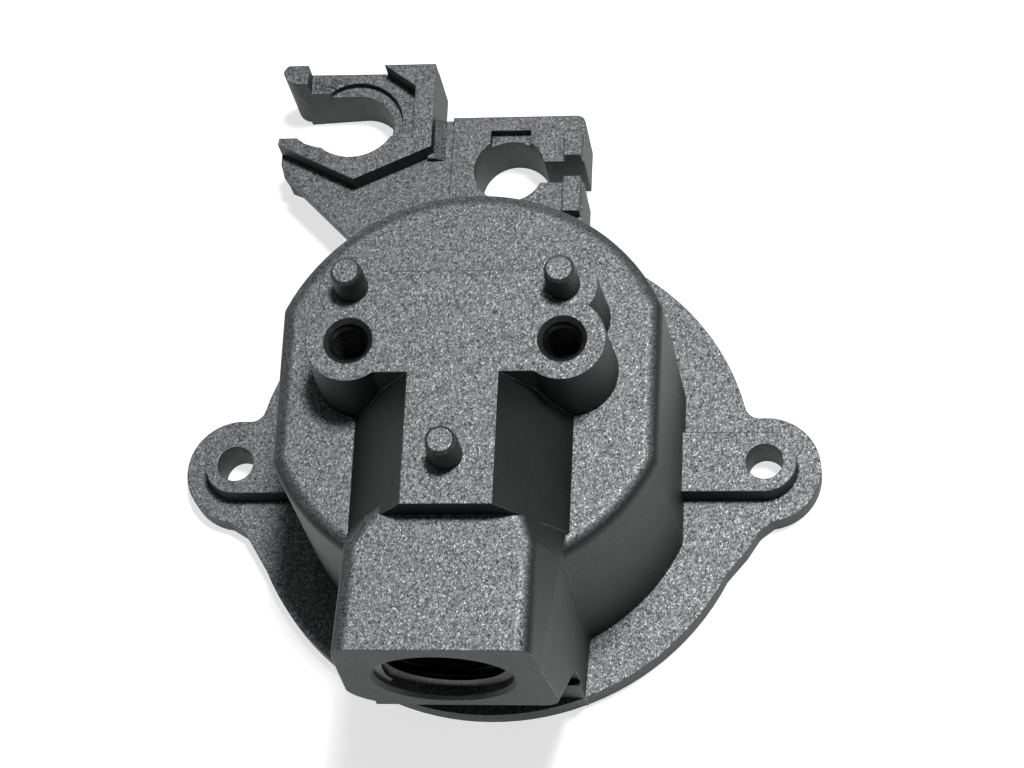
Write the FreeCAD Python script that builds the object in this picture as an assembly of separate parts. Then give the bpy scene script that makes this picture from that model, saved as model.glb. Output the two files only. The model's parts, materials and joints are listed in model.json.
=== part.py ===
import FreeCAD, Part
import math
import os

os.makedirs("parts", exist_ok=True)

V = FreeCAD.Vector
UP = V(0, 0, 1)

# Die cast housing: a round flange with two ears, a hollow dome, a T-shaped seat with two tapped
# holes and three locating pegs on top of the dome, a threaded port on one side and two pipe clips
# on the other.  Millimetres.  The origin is the centre of the round flange on its mounting face,
# +Z runs up through the dome, -Y to the threaded port, +Y to the clips.

# flange and ears
flange_r = 41.5
flange_t = 4.0
ear_x = 43.5
ear_r = 9.0
ear_hole_r = 3.0
ear_web = 2.5
pad_half = 5.1
pad_rise = 3.8

# dome
dome_top = 42.6
dome_r = 33.0
dome_flat_cut = 2.6
dome_flat = dome_r - dome_flat_cut
dome_draft = math.radians(1.2)
dome_round = 2.4
dome_corner = 1.2
wall = 3.2
cavity_round = 2.0

# T-shaped seat
seat_top = 55.6
seat_draft = math.radians(3.0)
tap_x = 16.1
tap_y = 1.25
tap_r = 3.0
tap_depth = 12.0
tap_mouth = 0.75
lobe_r = 6.5
peg_x = 16.0
peg_y = 9.9
peg_x_front = -0.3
peg_y_front = -17.1
peg_r = 2.5
peg_tip_r = 2.25
peg_rise = 6.2
peg_straight = 3.6
peg_bevel = 0.4
peg_lobe_r = 5.1
bar_front = -3.9
bar_back = 12.5

# sloped stem that carries the front peg
stem_half = 6.85
stem_slope = 0.76
stem_end = -24.7

# threaded port, G 1/2 pipe thread
port_x = -2.0
port_z = 36.6
port_face = -45.5
port_top = 51.0
port_bottom = 23.4
port_r = 10.48
port_thread = 16.0
port_mouth = 0.62
port_passage_r = 8.0
port_passage_end = -26.0
port_foot = -38.6
port_foot_z = 15.0
port_edge = 2.4
port_left = 15.2
port_right = 15.2
port_lower_left = 9.0
port_lower_right = 2.6

# clips
plate_t = 10.3
plate_lean = 2.0
clip_top = 14.1
hook_x = -26.7
hook_y = 61.0
hook_r = 6.2
hook_seat_r = 8.0
hook_seat_z = 8.9
hook_back = hook_y + 9.6
hook_front = hook_y - 8.7
hook_side = hook_x + 13.8
hook_tip = hook_x - 12.6
hook_lean = 1.2
hook_belly = 0.5
throat_back = 6.1
tip_back_r = 1.8
tip_inner_r = 2.6
tip_front_r = 1.4
clip_root = 24.0
ring_x = 0.2
ring_y = 51.4
ring_r = 6.0
ring_t = 11.5
ring_corner = 1.6
ring_left = -9.7
ring_right = 12.9
ring_wall = 3.9
ring_back = ring_y + ring_r + ring_wall
slot_low = ring_y - 2.6
slot_high = ring_y + 1.3
key_half = 3.4
key_wall = 2.6
key_depth = 1.8
lip_left = 9.7
lip_right = 12.6
lip_front = ring_y - 9.0
lip_back = ring_y + 6.0
lip_top = 13.9
ramp_front = ring_back - 7.5
ramp_rise = 1.1


def prism(points, z0, z1):
    """Straight block over a plan outline."""
    loop = [V(x, y, z0) for x, y in points]
    wire = Part.makePolygon(loop + [loop[0]])
    return Part.Face(wire).extrude(V(0, 0, z1 - z0))


def ring_wire(points):
    """Closed outline through points in space."""
    loop = [V(*p) for p in points]
    return Part.makePolygon(loop + [loop[0]])


def drafted_box(x0, x1, y0, y1, z0, z1, grow):
    """Block whose four sides lean out by grow from the top to the bottom."""
    a, b, c, d = x0 - grow, x1 + grow, y0 - grow, y1 + grow
    low = [(a, c, z0), (b, c, z0), (b, d, z0), (a, d, z0)]
    high = [(x0, y0, z1), (x1, y0, z1), (x1, y1, z1), (x0, y1, z1)]
    return Part.makeLoft([ring_wire(low), ring_wire(high)], True, True)


def drafted_boss(x, y, r, z0, z1, draft):
    """Round boss of radius r at the top, wider at the bottom."""
    return Part.makeCone(r + (z1 - z0) * math.tan(draft), r, z1 - z0, V(x, y, z0), UP)


def edges_where(shape, test):
    return [e for e in shape.Edges if test(e)]


def rounded(shape, radius, test):
    """Fillet the edges the test picks; the shape comes back unchanged when none is picked."""
    picked = edges_where(shape, test)
    if not picked:
        return shape
    return shape.makeFillet(radius, picked)


def middle(edge):
    return edge.valueAt(0.5 * (edge.FirstParameter + edge.LastParameter))


def flat_sided(r, flat, z0, z1, draft, top_round):
    """Drafted round body with two flats at the left and right."""
    lean = (z1 - z0) * math.tan(draft)
    body = Part.makeCone(r, r - lean, z1 - z0, V(0, 0, z0), UP)
    low = [(-flat, -r - 5, z0), (flat, -r - 5, z0), (flat, r + 5, z0), (-flat, r + 5, z0)]
    high = [(x * (flat - lean) / flat, y, z1) for x, y, z in low]
    body = body.common(Part.makeLoft([ring_wire(low), ring_wire(high)], True, True))
    tall = z1 - z0 - 0.1
    body = rounded(body, dome_corner, lambda e: e.BoundBox.ZLength > tall and e.BoundBox.YLength < 3)
    return rounded(body, top_round, lambda e: e.BoundBox.ZMin > z1 - 0.01)


# flange with its two ears
flange = Part.makeCylinder(flange_r, flange_t, V(0, 0, 0), UP)
for side in (-1, 1):
    ear = Part.makeCylinder(ear_r, flange_t, V(side * ear_x, 0, 0), UP)
    flange = flange.fuse(ear)
flange = flange.removeSplitter()
for side, pulled in ((-1, 0.8), (1, 0.0)):
    web = [(45.5, -8.4), (42.7 - pulled, -10.6), (40.6 - pulled, -14.0), (37.2, -18.2), (33.0, -12.0),
           (40.0, -3.0)]
    flange = flange.fuse(prism([(side * x, y) for x, y in web], 0, flange_t))
flange = flange.removeSplitter()


def ear_notch(edge):
    """Upright edge in the notch between an ear and the round flange."""
    at = middle(edge)
    return edge.BoundBox.ZLength > flange_t - 0.1 and abs(abs(at.x) - 41) < 2.0 and abs(at.y) > 4


flange = rounded(flange, ear_web, ear_notch)

# raised stadium pads round the ear holes, running in to the dome
pads = []
for side in (-1, 1):
    pad = drafted_boss(side * ear_x, 0, pad_half, flange_t, flange_t + pad_rise, seat_draft)
    x0, x1 = sorted((side * ear_x, side * (dome_flat - 4)))
    lean = pad_rise * math.tan(seat_draft)
    run = drafted_box(x0, x1, -pad_half, pad_half, flange_t, flange_t + pad_rise, lean)
    pads.append(pad.fuse(run))

dome = flat_sided(dome_r, dome_flat, 0.0, dome_top, dome_draft, dome_round)

# T-shaped seat: bar, two tapped lobes, two peg lobes
seat_base = dome_top - 1.0
seat_grow = (seat_top - seat_base) * math.tan(seat_draft)
seat = drafted_box(-tap_x, tap_x, bar_front, bar_back, seat_base, seat_top, seat_grow)
for side in (-1, 1):
    seat = seat.fuse(drafted_boss(side * tap_x, tap_y, lobe_r, seat_base, seat_top, seat_draft))
    seat = seat.fuse(drafted_boss(side * peg_x, peg_y, peg_lobe_r, seat_base, seat_top, seat_draft))

# stem with sloped sides
stem_base = dome_top - 2.4
low_half = stem_half + (seat_top - stem_base) * stem_slope
stem_outline = [(-low_half, stem_end, stem_base), (low_half, stem_end, stem_base),
                (stem_half, stem_end, seat_top), (-stem_half, stem_end, seat_top)]
stem = Part.Face(ring_wire(stem_outline)).extrude(V(0, bar_front + 5 - stem_end, 0))


def port_section(y, top_left, top_right, mid_left, mid_right, foot_left, foot_right):
    """Outline of the port block at one distance from the dome."""
    right = [(foot_right, y, 0), (mid_right, y, dome_top), (top_right, y, port_top)]
    left = [(top_left, y, port_top), (mid_left, y, dome_top), (foot_left, y, 0)]
    return ring_wire(right + left)


# port block: sections from inside the dome out to the threaded face
sections = [
    port_section(-21.5, -9.0, 9.0, -16.0, 16.0, -16.0, 15.4),
    port_section(stem_end, -12.6, 10.6, -16.8, 16.2, -18.0, 15.9),
    port_section(-28.6, -15.6, 12.3, -17.0, 15.6, -18.2, 15.9),
    port_section(port_face, port_x - port_left + 0.6, port_x + port_right - 0.5, port_x - port_left,
                 port_x + port_right, port_x - port_left - 2.0, port_x + port_right + 2.2),
]
block = Part.makeLoft(sections, True, True)
block = rounded(block, port_edge, lambda e: e.BoundBox.ZMin > port_top - 0.01 and e.BoundBox.YLength > 1.0)
under = Part.Face(ring_wire([(-30, port_foot, -1), (-30, port_foot, port_foot_z),
                             (-30, port_face, port_bottom), (-30, port_face - 5, port_bottom + 6.1),
                             (-30, port_face - 5, -1)])).extrude(V(60, 0, 0))
block = block.cut(under)


def lower_corner(x, side, r):
    """Cutter that rounds a lower corner of the port along its sloped underside."""
    y = port_foot + 1.0
    z = port_foot_z - 1.22
    run = V(0, port_face - y - 1.0, (y - port_face + 1.0) * 1.217)
    a, b = x - side * r, x + side * 6
    square = Part.Face(ring_wire([(a, y, z - 4), (b, y, z - 4), (b, y, z + r), (a, y, z + r)]))
    disc = Part.Face(Part.Wire(Part.makeCircle(r, V(x - side * r, y, z + r), V(0, 1, 0))))
    return square.cut(disc).extrude(run)


block = block.cut(lower_corner(port_x - port_left - 0.7, -1, port_lower_left))
block = block.cut(lower_corner(port_x + port_right + 0.8, 1, port_lower_right))

# ring clip: block with a through hole, a slot to the right, a keyway and two raised lips
def plan_box(x0, x1, y0, y1, z0, z1):
    """Straight block over a rectangle."""
    return prism([(x0, y0), (x1, y0), (x1, y1), (x0, y1)], z0, z1)


ring_block = plan_box(ring_left, ring_right, 20, ring_back, 0, ring_t)
ring_block = rounded(ring_block, ring_corner,
                     lambda e: e.BoundBox.ZLength > 5 and middle(e).y > 50 and middle(e).x > 0)
for y0, y1 in ((lip_front, slot_low), (slot_high, lip_back)):
    ring_block = ring_block.fuse(plan_box(lip_left, lip_right, y0, y1, ring_t - 1, lip_top))
ring_hole = Part.makeCylinder(ring_r, ring_t + 4, V(ring_x, ring_y, -2), UP)
ring_slot = plan_box(ring_x, 20, slot_low, slot_high, -2, clip_top + 2)
keyway = plan_box(ring_x - key_half, ring_x + key_half, ring_y, ring_back - key_wall, ring_t - key_depth, ring_t + 2)
ring_block = ring_block.cut(ring_hole).cut(ring_slot).cut(keyway)

# hook clip: plate with an open seat to the left, a raised rim and a raised tip
run_in = hook_front - clip_root


def plate_wire(z, belly, lean):
    """Plan outline of the hook's plate: belly swells its free end, lean draws its front wall in."""
    tip_x = hook_tip - belly
    outline = [(ring_left + 1, clip_root), (ring_left + 1, ring_back), (hook_side, ring_back),
               (hook_side, hook_back), (tip_x, hook_back + 0.2), (tip_x, hook_y + 5.0),
               (hook_x - 3.3, hook_y), (tip_x, hook_y - 4.0), (tip_x, hook_front + 0.4 * lean),
               (hook_tip + 2.0, hook_front - 2.0 + lean), (hook_tip + run_in, clip_root + lean)]
    return ring_wire([(x, y, z) for x, y in outline])


plate = Part.makeLoft([plate_wire(0, 0, plate_lean), plate_wire(plate_t / 2, hook_belly, plate_lean / 2),
                       plate_wire(plate_t, 0, 0)], True, True)
rim_edge = [(hook_side, hook_back - 0.2), (hook_side, hook_y - 6.2), (hook_x + 0.8, hook_y - 12.2),
            (hook_tip, hook_y - 5.5), (hook_tip + 0.2, hook_y - 4.1), (hook_x - 9.3, hook_y - 3.8),
            (hook_x, hook_y), (hook_x + 6.7, hook_y - 4.2), (hook_x + 10.5, hook_y - 4.6),
            (hook_x + 10.5, hook_y + 5.3), (hook_x + 4.9, hook_back - 0.2)]
rim = prism(rim_edge, plate_t - 1, clip_top)
tip = plan_box(hook_tip, hook_tip + 4.3, hook_y + 5.5, hook_back, plate_t - 1, clip_top)
ramp_edge = [(hook_side - 1, ramp_front, plate_t - 1), (ring_left - 1.2, ramp_front, plate_t - 1),
             (ring_left - 1.2, ramp_front, plate_t), (hook_side, ramp_front, plate_t + ramp_rise),
             (hook_side - 1, ramp_front, plate_t + ramp_rise)]
ramp = Part.Face(ring_wire(ramp_edge)).extrude(V(0, ring_back - ramp_front, 0))
hook = plate.fuse([rim, tip, ramp])


def throat_wire(z, lean):
    """Plan outline of the way in to the hook's seat; its back wall leans forward towards the bottom."""
    outline = [(0, throat_back), (-18.3, throat_back - lean), (-18.3, -4.3), (-9.4, -4.3), (-7.9, -5.4),
               (-5.7, -6.1), (0, -6.3)]
    return ring_wire([(hook_x + x, hook_y + y, z) for x, y in outline])


hook = hook.cut(Part.makeLoft([throat_wire(-2, hook_lean), throat_wire(hook_seat_z, 0)], True, True))
hook = hook.cut(Part.Face(throat_wire(hook_seat_z - 0.01, 0)).extrude(UP * clip_top))
seat_at = V(hook_x, hook_y + throat_back - hook_r, -2)
hook = hook.cut(Part.makeCylinder(hook_r, hook_seat_z + 2, seat_at, UP))
hook = hook.cut(Part.makeCylinder(hook_seat_r, clip_top, V(hook_x, hook_y, hook_seat_z), UP))

# the ends of the hook are rounded off in plan
for y, inner, r in ((hook_back + 0.2, -1, tip_back_r), (hook_y + throat_back, 1, tip_inner_r),
                    (hook_front, 1, tip_front_r)):
    low_y, high_y = sorted((y - inner, y + inner * r))
    corner = plan_box(hook_tip - 1, hook_tip + r, low_y, high_y, -1, clip_top + 1)
    corner = corner.cut(Part.makeCylinder(r, clip_top + 3, V(hook_tip + r, y + inner * r, -2), UP))
    hook = hook.cut(corner)

# everything joined, then hollowed and drilled
housing = dome.fuse([block, stem, seat, flange] + pads + [ring_block, hook])

cavity = flat_sided(dome_r - wall, dome_flat - wall, -1.0, dome_top - wall, dome_draft, cavity_round)
housing = housing.cut(cavity)

taps = [(-tap_x, tap_y), (tap_x, tap_y)]
pegs = [(-peg_x, peg_y), (peg_x, peg_y), (peg_x_front, peg_y_front)]
for side in (-1, 1):
    hole = Part.makeCylinder(ear_hole_r, 20, V(side * ear_x, 0, -2), UP)
    housing = housing.cut(hole)
for x, y in taps:
    at = V(x, y, seat_top)
    tap = Part.makeCylinder(tap_r, tap_depth, at - UP * tap_depth, UP)
    mouth = Part.makeCone(tap_r, tap_r + tap_mouth, tap_mouth, at - UP * tap_mouth, UP)
    housing = housing.cut([tap, mouth])

inward = V(0, 1, 0)
opening = V(port_x, port_face, port_z)
bore = Part.makeCylinder(port_r, port_thread, opening, inward)
passage = Part.makeCylinder(port_passage_r, port_passage_end - port_face, opening, inward)
mouth = Part.makeCone(port_r + port_mouth, port_r, port_mouth, opening, inward)
housing = housing.cut([bore, passage, mouth])

for x, y in pegs:
    at = V(x, y, seat_top)
    peg = Part.makeCylinder(peg_r, peg_straight + 0.5, at - UP * 0.5, UP)
    nose = Part.makeCone(peg_r, peg_tip_r, peg_rise - peg_straight, at + UP * peg_straight, UP)
    nose = nose.makeChamfer(peg_bevel, edges_where(nose, lambda e: e.BoundBox.ZMin > seat_top + peg_rise - 0.01))
    housing = housing.fuse([peg, nose])

housing = housing.removeSplitter()
housing = housing.Solids[0] if len(housing.Solids) == 1 else housing
housing.exportStep("parts/housing.step")
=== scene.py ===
"""Looks of a die cast housing: blasted cast skin, cut threads, casting flash, floor, lights and camera."""

import json
import math
import random

import bmesh
import bpy
from mathutils import Matrix, Vector, noise


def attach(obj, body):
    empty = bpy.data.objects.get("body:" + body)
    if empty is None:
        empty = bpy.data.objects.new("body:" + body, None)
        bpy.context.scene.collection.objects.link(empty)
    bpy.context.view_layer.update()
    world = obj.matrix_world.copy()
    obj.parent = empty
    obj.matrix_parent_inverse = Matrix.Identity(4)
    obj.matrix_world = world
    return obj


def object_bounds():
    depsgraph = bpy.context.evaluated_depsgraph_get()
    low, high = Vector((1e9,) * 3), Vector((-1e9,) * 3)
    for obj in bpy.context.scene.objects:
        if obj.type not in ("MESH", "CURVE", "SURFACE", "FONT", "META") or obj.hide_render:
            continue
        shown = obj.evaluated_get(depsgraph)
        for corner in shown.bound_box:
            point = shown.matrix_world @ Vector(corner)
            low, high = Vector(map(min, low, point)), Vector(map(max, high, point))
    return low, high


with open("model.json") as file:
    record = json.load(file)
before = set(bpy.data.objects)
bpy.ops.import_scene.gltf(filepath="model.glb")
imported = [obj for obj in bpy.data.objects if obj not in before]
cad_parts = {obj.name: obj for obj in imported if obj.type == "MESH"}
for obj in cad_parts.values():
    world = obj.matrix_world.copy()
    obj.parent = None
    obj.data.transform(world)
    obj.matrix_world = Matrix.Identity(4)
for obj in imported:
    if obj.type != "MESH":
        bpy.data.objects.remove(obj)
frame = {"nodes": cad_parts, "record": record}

bl_info = {
    "name": "Die cast housing",
    "version": (1, 0, 0),
    "blender": (4, 5, 0),
    "location": "View3D > Sidebar > Housing",
    "description": "Finishes a cast housing around its packed frame",
    "category": "Object",
}

MM = 0.001
CAD_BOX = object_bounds()
NODE = "housing"
MOUNTS = {mount["name"]: mount for mount in frame["record"]["mounts"]}


def mount_place(name):
    """Mouth, outward axis, radius and length of a round mount, in metres."""
    mount = MOUNTS[name]
    return (Vector(mount["pos_m"]), Vector(mount["axis"]).normalized(),
            mount["dims"]["r_mm"] * MM, mount["dims"]["length_mm"] * MM)


# ---------------------------------------------------------------- settings

class CastingFinish(bpy.types.PropertyGroup):
    """Colours and grain of the cast skin."""
    blasted_dark: bpy.props.FloatVectorProperty(
        name="Blasted, dark", description="Hollows of the shot-blasted skin", subtype="COLOR",
        size=4, min=0.0, max=1.0, default=(0.045, 0.048, 0.051, 1.0))
    blasted_light: bpy.props.FloatVectorProperty(
        name="Blasted, light", description="Peened tips of the shot-blasted skin", subtype="COLOR",
        size=4, min=0.0, max=1.0, default=(0.56, 0.575, 0.595, 1.0))
    # Colour of the steep walls, much darker than the tops: painted shade where the walls face away from the overhead
    # light.
    shaded_wall_colour: bpy.props.FloatVectorProperty(
        name="Drawn wall", description="Smooth drafted walls left by the die", subtype="COLOR",
        size=4, min=0.0, max=1.0, default=(0.056, 0.063, 0.059, 1.0))
    # Near-black colour of the threads: painted shade inside the holes.
    shaded_thread_colour: bpy.props.FloatVectorProperty(
        name="Cut thread, painted shade", description="Freshly cut metal of the threads", subtype="COLOR",
        size=4, min=0.0, max=1.0, default=(0.11, 0.11, 0.105, 1.0))
    grain_size: bpy.props.FloatProperty(
        name="Grain size", description="Distance between the pits of the blasting",
        subtype="DISTANCE", unit="LENGTH", default=0.215 * MM, min=0.05 * MM, max=5 * MM)
    # Width of the lighter edge band, which is edge wear and painted highlight, and radius of the rounded edge normal.
    edge_width: bpy.props.FloatProperty(
        name="Edge width", description="Width of the worn band along the outer edges",
        subtype="DISTANCE", unit="LENGTH", default=0.28 * MM, min=0.0, max=2 * MM)


class ThreadSizes(bpy.types.PropertyGroup):
    """Pitches and heights of the internal threads."""
    port_pitch: bpy.props.FloatProperty(
        name="Port pitch", description="Distance between the turns in the side port",
        subtype="DISTANCE", unit="LENGTH", default=1.814 * MM, min=0.5 * MM)
    port_height: bpy.props.FloatProperty(
        name="Port thread height", description="How far the port's turns stand in from the wall",
        subtype="DISTANCE", unit="LENGTH", default=1.16 * MM, min=0.1 * MM)
    screw_pitch: bpy.props.FloatProperty(
        name="Screw pitch", description="Distance between the turns in the tapped holes",
        subtype="DISTANCE", unit="LENGTH", default=1.0 * MM, min=0.2 * MM)
    screw_height: bpy.props.FloatProperty(
        name="Screw thread height", description="How far the tapped holes' turns stand in from the wall",
        subtype="DISTANCE", unit="LENGTH", default=0.54 * MM, min=0.05 * MM)


class CastingMarks(bpy.types.PropertyGroup):
    """Small lumps that the die and the trimming left."""
    burr_size: bpy.props.FloatProperty(
        name="Burr size", description="Mean radius of the lumps along a torn edge",
        subtype="DISTANCE", unit="LENGTH", default=0.26 * MM, min=0.02 * MM)
    blister_size: bpy.props.FloatProperty(
        name="Blister size", description="Radius of the blister on top of the port",
        subtype="DISTANCE", unit="LENGTH", default=0.6 * MM, min=0.05 * MM)
    seed: bpy.props.IntProperty(name="Seed", description="Start of the random draws", default=7)


class StudioSettings(bpy.types.PropertyGroup):
    """Floor, lights and camera."""
    floor_colour: bpy.props.FloatVectorProperty(
        name="Floor", description="Pale floor under the housing", subtype="COLOR",
        size=4, min=0.0, max=1.0, default=(0.86, 0.86, 0.86, 1.0))
    key_power: bpy.props.FloatProperty(
        name="Key light", description="Power of the main soft box", default=4.9, min=0.0)
    top_power: bpy.props.FloatProperty(
        name="Top light", description="Power of the wide overhead sheet", default=0.8, min=0.0)
    sky_strength: bpy.props.FloatProperty(
        name="Surroundings", description="Brightness of the room around", default=0.03, min=0.0)
    floor_glow: bpy.props.FloatProperty(
        name="Floor glow", description="Light given off by the backlit floor", default=0.7, min=0.0)
    focal_length: bpy.props.FloatProperty(
        name="Lens", description="Focal length on a 36 mm wide sensor, in millimetres", default=105.47)


# ---------------------------------------------------------------- shaders

def new_group(name, inputs, outputs):
    """Empty shader group with the given (kind, name, default) sockets."""
    group = bpy.data.node_groups.new(name, "ShaderNodeTree")
    for kind, label, value in inputs:
        socket = group.interface.new_socket(name=label, in_out="INPUT", socket_type=kind)
        if value is not None:
            socket.default_value = value
    for kind, label in outputs:
        group.interface.new_socket(name=label, in_out="OUTPUT", socket_type=kind)
    source = group.nodes.new("NodeGroupInput")
    target = group.nodes.new("NodeGroupOutput")
    return group, source, target


def math_node(tree, operation, first, second=None, clamp=False):
    """Math node fed by sockets or plain numbers."""
    node = tree.nodes.new("ShaderNodeMath")
    node.operation = operation
    node.use_clamp = clamp
    for place, value in enumerate((first, second)):
        if value is None:
            continue
        if isinstance(value, (int, float)):
            node.inputs[place].default_value = value
        else:
            tree.links.new(value, node.inputs[place])
    return node.outputs[0]


def noise_node(tree, vector, scale, detail=2.0, roughness=0.5):
    node = tree.nodes.new("ShaderNodeTexNoise")
    node.inputs["Detail"].default_value = detail
    node.inputs["Roughness"].default_value = roughness
    tree.links.new(vector, node.inputs["Vector"])
    if isinstance(scale, (int, float)):
        node.inputs["Scale"].default_value = scale
    else:
        tree.links.new(scale, node.inputs["Scale"])
    return node.outputs["Fac"]


def map_range(tree, value, low, high, to_low=0.0, to_high=1.0, smooth=False):
    node = tree.nodes.new("ShaderNodeMapRange")
    node.interpolation_type = "SMOOTHSTEP" if smooth else "LINEAR"
    tree.links.new(value, node.inputs["Value"])
    for label, number in (("From Min", low), ("From Max", high), ("To Min", to_low), ("To Max", to_high)):
        node.inputs[label].default_value = number
    return node.outputs["Result"]


def mix_colour(tree, factor, first, second, blend="MIX"):
    node = tree.nodes.new("ShaderNodeMix")
    node.data_type = "RGBA"
    node.blend_type = blend
    for place, value in ((0, factor), (6, first), (7, second)):
        if isinstance(value, (int, float, tuple, list)) or hasattr(value, "foreach_get"):
            node.inputs[place].default_value = value
        else:
            tree.links.new(value, node.inputs[place])
    return node.outputs[2]


def blast_grain_group():
    """Shot-blasted skin: a speckle for the colour and a height for the bump."""
    name = "Blast grain"
    if name in bpy.data.node_groups:
        return bpy.data.node_groups[name]
    tree, source, target = new_group(
        name,
        [("NodeSocketVector", "Vector", None), ("NodeSocketFloat", "Grain Scale", 3000.0)],
        [("NodeSocketFloat", "Speckle"), ("NodeSocketFloat", "Height"), ("NodeSocketFloat", "Mottle")])
    vector = source.outputs["Vector"]
    scale = source.outputs["Grain Scale"]
    pits = tree.nodes.new("ShaderNodeTexVoronoi")
    pits.feature = "SMOOTH_F1"
    pits.inputs["Smoothness"].default_value = 0.35
    tree.links.new(vector, pits.inputs["Vector"])
    tree.links.new(scale, pits.inputs["Scale"])
    cell = tree.nodes.new("ShaderNodeSeparateColor")
    tree.links.new(pits.outputs["Color"], cell.inputs["Color"])
    clump = noise_node(tree, vector, math_node(tree, "MULTIPLY", scale, 0.45), detail=3.0, roughness=0.65)
    mottle = noise_node(tree, vector, math_node(tree, "MULTIPLY", scale, 0.06), detail=3.0)
    tip = map_range(tree, cell.outputs["Red"], 0.72, 1.0, 0.0, 0.48)
    speckle = math_node(tree, "ADD", map_range(tree, cell.outputs["Green"], 0.2, 0.8, 0.0, 0.24),
                        map_range(tree, clump, 0.32, 0.68, 0.0, 0.36))
    speckle = math_node(tree, "ADD", speckle, tip, clamp=True)
    height = math_node(tree, "ADD", math_node(tree, "MULTIPLY", pits.outputs["Distance"], 0.8),
                       math_node(tree, "MULTIPLY", clump, 0.7))
    tree.links.new(speckle, target.inputs["Speckle"])
    tree.links.new(height, target.inputs["Height"])
    tree.links.new(mottle, target.inputs["Mottle"])
    return tree


def new_material(name):
    material = bpy.data.materials.new(name)
    material.use_nodes = True
    material.node_tree.nodes.clear()
    tree = material.node_tree
    shader = tree.nodes.new("ShaderNodeBsdfPrincipled")
    output = tree.nodes.new("ShaderNodeOutputMaterial")
    tree.links.new(shader.outputs["BSDF"], output.inputs["Surface"])
    return material, tree, shader


def cast_skin_material(finish):
    """Grainy and lighter on the upward faces, smooth, greenish and darker on the steep walls; the light tops and dark
    walls are painted light and painted shade. A lighter band along the edges is partly wear and partly painted
    highlight.
    """
    material, tree, shader = new_material("Cast skin")
    shader.inputs["Metallic"].default_value = 0.8
    place = tree.nodes.new("ShaderNodeTexCoord").outputs["Object"]
    grain = tree.nodes.new("ShaderNodeGroup")
    grain.node_tree = blast_grain_group()
    grain.inputs["Grain Scale"].default_value = 1.0 / finish.grain_size
    tree.links.new(place, grain.inputs["Vector"])

    geometry = tree.nodes.new("ShaderNodeNewGeometry")
    facing = tree.nodes.new("ShaderNodeSeparateXYZ")
    tree.links.new(geometry.outputs["Normal"], facing.inputs["Vector"])
    level = math_node(tree, "ABSOLUTE", facing.outputs["Z"])
    # Mask of the upward faces: real grain depth and roughness, and painted light on the tops.
    blasted_and_lit_tops = map_range(tree, level, 0.62, 0.93, smooth=True)

    rounded = tree.nodes.new("ShaderNodeBevel")
    rounded.samples = 6
    rounded.inputs["Radius"].default_value = finish.edge_width
    along = tree.nodes.new("ShaderNodeVectorMath")
    along.operation = "DOT_PRODUCT"
    tree.links.new(rounded.outputs["Normal"], along.inputs[0])
    tree.links.new(geometry.outputs["Normal"], along.inputs[1])
    edge = map_range(tree, along.outputs["Value"], 0.985, 0.86)

    blasted = mix_colour(tree, grain.outputs["Speckle"], finish.blasted_dark, finish.blasted_light)
    stained = noise_node(tree, place, 90.0, detail=4.0, roughness=0.6)
    # Dark wall colour with random stains; the darkness of the walls is painted shade.
    shaded_wall = mix_colour(tree, map_range(tree, stained, 0.3, 0.7, 0.0, 0.6), finish.shaded_wall_colour,
                      (0.036, 0.041, 0.038, 1.0))
    # Tops take the light grain colour and walls the dark one: painted light and painted shade by facing direction.
    colour = mix_colour(tree, blasted_and_lit_tops, shaded_wall, blasted)
    # Lighter band along the outer edges: partly edge wear, partly painted highlight.
    worn_and_highlit = math_node(tree, "MULTIPLY", edge, map_range(tree, grain.outputs["Mottle"], 0.35, 0.65, 0.05, 0.5))
    colour = mix_colour(tree, worn_and_highlit, colour, (0.4, 0.41, 0.42, 1.0))
    tree.links.new(colour, shader.inputs["Base Color"])

    rough = map_range(tree, grain.outputs["Speckle"], 0.0, 1.0, 0.62, 0.42)
    rough = math_node(tree, "ADD", rough, math_node(tree, "MULTIPLY", math_node(tree, "SUBTRACT", 1.0, blasted_and_lit_tops), 0.04))
    tree.links.new(rough, shader.inputs["Roughness"])

    bump = tree.nodes.new("ShaderNodeBump")
    bump.inputs["Distance"].default_value = 0.03 * MM
    depth = map_range(tree, blasted_and_lit_tops, 0.0, 1.0, 0.06, 1.0)
    tree.links.new(math_node(tree, "MULTIPLY", grain.outputs["Height"], depth), bump.inputs["Height"])
    tree.links.new(rounded.outputs["Normal"], bump.inputs["Normal"])
    tree.links.new(bump.outputs["Normal"], shader.inputs["Normal"])
    return material


def cut_thread_material(finish):
    """Cut metal with a fine grain bump, coloured near black: painted shade inside the holes."""
    material, tree, shader = new_material("Cut thread, painted shade")
    shader.inputs["Metallic"].default_value = 1.0
    place = tree.nodes.new("ShaderNodeTexCoord").outputs["Object"]
    grain = tree.nodes.new("ShaderNodeGroup")
    grain.node_tree = blast_grain_group()
    grain.inputs["Grain Scale"].default_value = 1800.0
    tree.links.new(place, grain.inputs["Vector"])
    # Dark thread colour with random mottling; the darkness is painted shade of the holes.
    colour = mix_colour(tree, map_range(tree, grain.outputs["Mottle"], 0.3, 0.7), finish.shaded_thread_colour,
                        (0.03, 0.03, 0.029, 1.0))
    tree.links.new(colour, shader.inputs["Base Color"])
    tree.links.new(map_range(tree, grain.outputs["Speckle"], 0.0, 1.0, 0.3, 0.45), shader.inputs["Roughness"])
    bump = tree.nodes.new("ShaderNodeBump")
    bump.inputs["Distance"].default_value = 0.01 * MM
    tree.links.new(grain.outputs["Height"], bump.inputs["Height"])
    tree.links.new(bump.outputs["Normal"], shader.inputs["Normal"])
    return material


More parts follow.
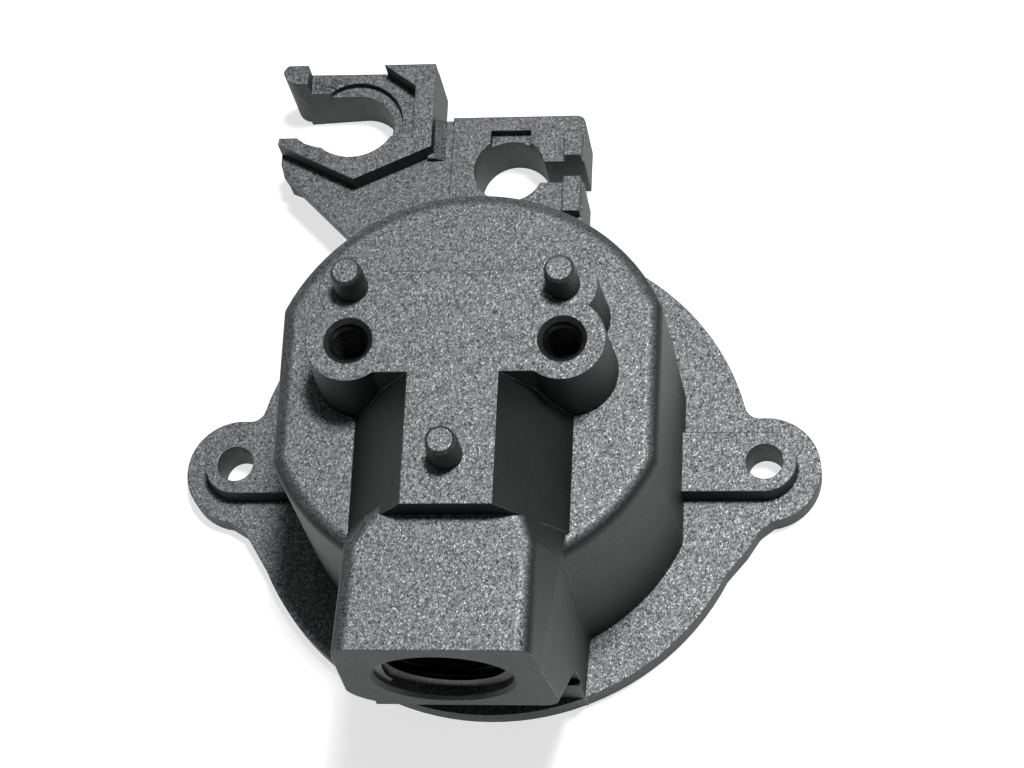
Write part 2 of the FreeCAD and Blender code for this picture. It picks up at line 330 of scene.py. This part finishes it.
def floor_material(colour, glow):
    """Pale, evenly backlit sheet."""
    material, tree, shader = new_material("Pale floor")
    place = tree.nodes.new("ShaderNodeTexCoord").outputs["Object"]
    soft = noise_node(tree, place, 9.0, detail=3.0)
    shade = mix_colour(tree, map_range(tree, soft, 0.3, 0.7, 0.0, 0.04), colour, (0.7, 0.7, 0.71, 1.0))
    tree.links.new(shade, shader.inputs["Base Color"])
    shader.inputs["Roughness"].default_value = 0.85
    shader.inputs["Specular IOR Level"].default_value = 0.2
    shader.inputs["Emission Color"].default_value = (1.0, 1.0, 1.0, 1.0)
    shader.inputs["Emission Strength"].default_value = glow
    return material


# ---------------------------------------------------------------- meshes

def piece_from_bmesh(bm, name, material, smooth=True):
    """Object at the origin with its place in its mesh, riding on the housing."""
    bmesh.ops.recalc_face_normals(bm, faces=bm.faces)
    mesh = bpy.data.meshes.new(name)
    bm.to_mesh(mesh)
    bm.free()
    if smooth:
        mesh.shade_smooth()
    mesh.materials.append(material)
    piece = bpy.data.objects.new(name, mesh)
    bpy.context.scene.collection.objects.link(piece)
    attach(piece, "root")
    return piece


def along_axis(axis, mouth):
    """Matrix that turns local Z to the axis and moves the origin to the mouth."""
    return Matrix.Translation(mouth) @ axis.to_track_quat("Z", "Y").to_matrix().to_4x4()


def internal_thread(name, mouth, axis, wall_r, height, pitch, length, material, steps=72):
    """Helical ridge on the wall of a hole, running in from the mouth and fading at both ends."""
    buried = 0.03 * MM
    crest_r = wall_r - height
    half_root = 0.44 * pitch
    half_crest = 0.08 * pitch
    bm = bmesh.new()
    profile = [(wall_r + buried, -half_root), (crest_r, -half_crest), (crest_r, half_crest),
               (wall_r + buried, half_root)]
    turns = length / pitch - 0.85
    start = -length + 0.5 * pitch
    points = [bm.verts.new((r, 0.0, start + z)) for r, z in profile]
    edges = [bm.edges.new((points[i], points[(i + 1) % 4])) for i in range(4)]
    count = int(turns * steps)
    result = bmesh.ops.spin(bm, geom=points + edges, cent=(0, 0, 0), axis=(0, 0, 1), use_merge=False,
                            dvec=(0, 0, pitch / steps), angle=2 * math.pi * count / steps, steps=count)
    ends = [edges, [e for e in result["geom_last"] if isinstance(e, bmesh.types.BMEdge)]]
    for ring in ends:
        bmesh.ops.edgenet_fill(bm, edges=ring)
    fade = 0.15 * pitch
    low = start
    high = start + count * pitch / steps
    for vert in bm.verts:
        r = math.hypot(vert.co.x, vert.co.y)
        if r > wall_r - 0.01 * MM:
            continue
        room = min(vert.co.z - low, high - vert.co.z)
        share = min(1.0, max(0.0, room / fade))
        wanted = wall_r + 0.5 * buried - (height + 0.5 * buried) * share
        vert.co.x *= wanted / r
        vert.co.y *= wanted / r
    bmesh.ops.transform(bm, matrix=along_axis(axis, mouth), verts=bm.verts)
    piece = piece_from_bmesh(bm, name, material, smooth=False)
    return piece


def add_lump(bm, place, radius, flat):
    """Uneven, flattened ball of metal sunk into the surface at a place."""
    ball = bmesh.ops.create_icosphere(bm, subdivisions=2, radius=radius)
    for vert in ball["verts"]:
        swell = 1.0 + 0.35 * noise.noise((vert.co + place) * (1.6 / radius))
        vert.co *= swell
        vert.co.z *= flat
    bmesh.ops.translate(bm, vec=place, verts=ball["verts"])


def burr(name, start, end, count, radius, flat, spread, draw):
    """Row of lumps from start to end, scattered sideways by the spread."""
    bm = bmesh.new()
    for index in range(count):
        along = (index + draw.random()) / count
        place = start.lerp(end, along)
        place += Vector((draw.uniform(-spread, spread), draw.uniform(-spread, spread),
                         draw.uniform(-0.3, 0.05) * radius))
        add_lump(bm, place, radius * draw.uniform(0.55, 1.35), flat)
    material = bpy.data.materials["Cast skin"]
    piece = piece_from_bmesh(bm, name, material)
    return piece


# ---------------------------------------------------------------- operators

class HOUSING_OT_finish_casting(bpy.types.Operator):
    """Give the cast housing its grainy skin, with painted light on the tops and painted shade on the walls"""
    bl_idname = "housing.finish_casting"
    bl_label = "Finish casting"

    def execute(self, context):
        casting = frame["nodes"][NODE]
        casting.material_slots[0].material = cast_skin_material(context.scene.casting_finish)
        return {"FINISHED"}


class HOUSING_OT_add_port_thread(bpy.types.Operator):
    """Cut the pipe thread into the side port"""
    bl_idname = "housing.add_port_thread"
    bl_label = "Add port thread"

    def execute(self, context):
        sizes = context.scene.thread_sizes
        mouth, axis, wall_r, length = mount_place("port")
        material = bpy.data.materials.get("Cut thread, painted shade") or cut_thread_material(context.scene.casting_finish)
        internal_thread("port_thread", mouth, axis, wall_r, sizes.port_height, sizes.port_pitch,
                        length, material)
        return {"FINISHED"}


class HOUSING_OT_add_screw_threads(bpy.types.Operator):
    """Cut the screw threads into the two tapped holes"""
    bl_idname = "housing.add_screw_threads"
    bl_label = "Add screw threads"

    def execute(self, context):
        sizes = context.scene.thread_sizes
        material = bpy.data.materials.get("Cut thread, painted shade") or cut_thread_material(context.scene.casting_finish)
        for side in ("left", "right"):
            mouth, axis, wall_r, length = mount_place("tapped_hole_" + side)
            internal_thread("screw_thread_" + side, mouth, axis, wall_r, sizes.screw_height,
                            sizes.screw_pitch, length, material, steps=40)
        return {"FINISHED"}


class HOUSING_OT_add_casting_marks(bpy.types.Operator):
    """Add the burrs on the port's edge and the hook's tip, and the blister on the port"""
    bl_idname = "housing.add_casting_marks"
    bl_label = "Add casting marks"

    def execute(self, context):
        marks = context.scene.casting_marks
        draw = random.Random(marks.seed)
        port_top = 51.0 * MM
        burr("port_edge_burr", Vector((11.0 * MM, -34.0 * MM, port_top)), Vector((11.4 * MM, -45.0 * MM, port_top)),
             14, 0.6 * marks.burr_size, 0.35, 0.15 * MM, draw)
        plate_top = 10.3 * MM
        burr("hook_tip_burr", Vector((-34.4 * MM, 68.9 * MM, plate_top)), Vector((-30.6 * MM, 68.7 * MM, plate_top)),
             36, marks.burr_size, 0.45, 0.9 * MM, draw)
        edge = Vector((9.8 * MM, -37.1 * MM, port_top))
        burr("port_blister", edge, edge, 2, marks.blister_size, 0.25, 0.2 * MM, draw)
        return {"FINISHED"}


def soft_box(name, place, target, width, height, power, colour=(1.0, 1.0, 1.0)):
    """Rectangular area light aimed at a point."""
    light = bpy.data.lights.new(name, "AREA")
    light.shape = "RECTANGLE"
    light.size = width
    light.size_y = height
    light.energy = power
    light.color = colour
    lamp = bpy.data.objects.new(name, light)
    lamp.matrix_world = Matrix.Translation(place) @ (place - target).to_track_quat("Z", "Y").to_matrix().to_4x4()
    bpy.context.scene.collection.objects.link(lamp)
    return lamp


def view_matrix(target, distance, azimuth, elevation, roll):
    """Camera placed round a target; azimuth 0 looks along +Y, angles in degrees."""
    a, e, turn = (math.radians(v) for v in (azimuth, elevation, roll))
    back = Vector((math.sin(a) * math.cos(e), -math.cos(a) * math.cos(e), math.sin(e)))
    right = Vector((math.cos(a), math.sin(a), 0.0))
    up = back.cross(right)
    rolled_right = right * math.cos(turn) + up * math.sin(turn)
    rolled_up = up * math.cos(turn) - right * math.sin(turn)
    rotation = Matrix((rolled_right, rolled_up, back)).transposed().to_4x4()
    return Matrix.Translation(target + back * distance) @ rotation


class HOUSING_OT_build_stage(bpy.types.Operator):
    """Lay the floor and set up the lights and the camera"""
    bl_idname = "housing.build_stage"
    bl_label = "Build stage"

    def execute(self, context):
        studio = context.scene.studio_settings
        bm = bmesh.new()
        bmesh.ops.create_grid(bm, x_segments=1, y_segments=1, size=3.0)
        bmesh.ops.translate(bm, vec=(0, 0, CAD_BOX[0][2] - 0.1 * MM), verts=bm.verts)
        mesh = bpy.data.meshes.new("floor")
        bm.to_mesh(mesh)
        bm.free()
        mesh.materials.append(floor_material(studio.floor_colour, studio.floor_glow))
        floor = bpy.data.objects.new("floor", mesh)
        context.scene.collection.objects.link(floor)

        centre = Vector((0.0, 0.01, 0.02))
        soft_box("key_light", Vector((0.16, 0.15, 0.88)), centre, 0.12, 0.12, studio.key_power)
        soft_box("top_light", Vector((0.15, 0.25, 1.2)), centre, 0.9, 0.9, studio.top_power)
        world = bpy.data.worlds.new("studio")
        world.use_nodes = True
        world.node_tree.nodes["Background"].inputs["Color"].default_value = (1.0, 1.0, 1.0, 1.0)
        world.node_tree.nodes["Background"].inputs["Strength"].default_value = studio.sky_strength
        context.scene.world = world
        context.scene.view_settings.view_transform = "Standard"

        lens = bpy.data.cameras.new("camera")
        lens.sensor_width = 36.0
        lens.lens = studio.focal_length
        camera = bpy.data.objects.new("camera", lens)
        target = Vector((1.32, 15.40, 4.0)) * MM
        camera.matrix_world = view_matrix(target, 497.8 * MM, 19.70, 66.24, -18.62)
        context.scene.collection.objects.link(camera)
        context.scene.camera = camera
        return {"FINISHED"}


class HOUSING_PT_panel(bpy.types.Panel):
    """Housing tools in the sidebar"""
    bl_idname = "HOUSING_PT_panel"
    bl_label = "Die cast housing"
    bl_space_type = "VIEW_3D"
    bl_region_type = "UI"
    bl_category = "Housing"

    def draw(self, context):
        layout = self.layout
        for name in SETTINGS:
            group = getattr(context.scene, name)
            for label in group.bl_rna.properties.keys():
                if label not in ("rna_type", "name"):
                    layout.prop(group, label)
        for operator in OPERATORS:
            layout.operator(operator.bl_idname)


SETTINGS = {
    "casting_finish": CastingFinish,
    "thread_sizes": ThreadSizes,
    "casting_marks": CastingMarks,
    "studio_settings": StudioSettings,
}
OPERATORS = (
    HOUSING_OT_finish_casting,
    HOUSING_OT_add_port_thread,
    HOUSING_OT_add_screw_threads,
    HOUSING_OT_add_casting_marks,
    HOUSING_OT_build_stage,
)


def register():
    for group in SETTINGS.values():
        bpy.utils.register_class(group)
    for name, group in SETTINGS.items():
        setattr(bpy.types.Scene, name, bpy.props.PointerProperty(type=group))
    for operator in OPERATORS:
        bpy.utils.register_class(operator)
    bpy.utils.register_class(HOUSING_PT_panel)


def unregister():
    bpy.utils.unregister_class(HOUSING_PT_panel)
    for operator in reversed(OPERATORS):
        bpy.utils.unregister_class(operator)
    for name, group in SETTINGS.items():
        delattr(bpy.types.Scene, name)
        bpy.utils.unregister_class(group)


def main():
    register()
    bpy.ops.housing.finish_casting()
    bpy.ops.housing.add_port_thread()
    bpy.ops.housing.add_screw_threads()
    bpy.ops.housing.add_casting_marks()
    bpy.ops.housing.build_stage()


if __name__ == "__main__":
    main()
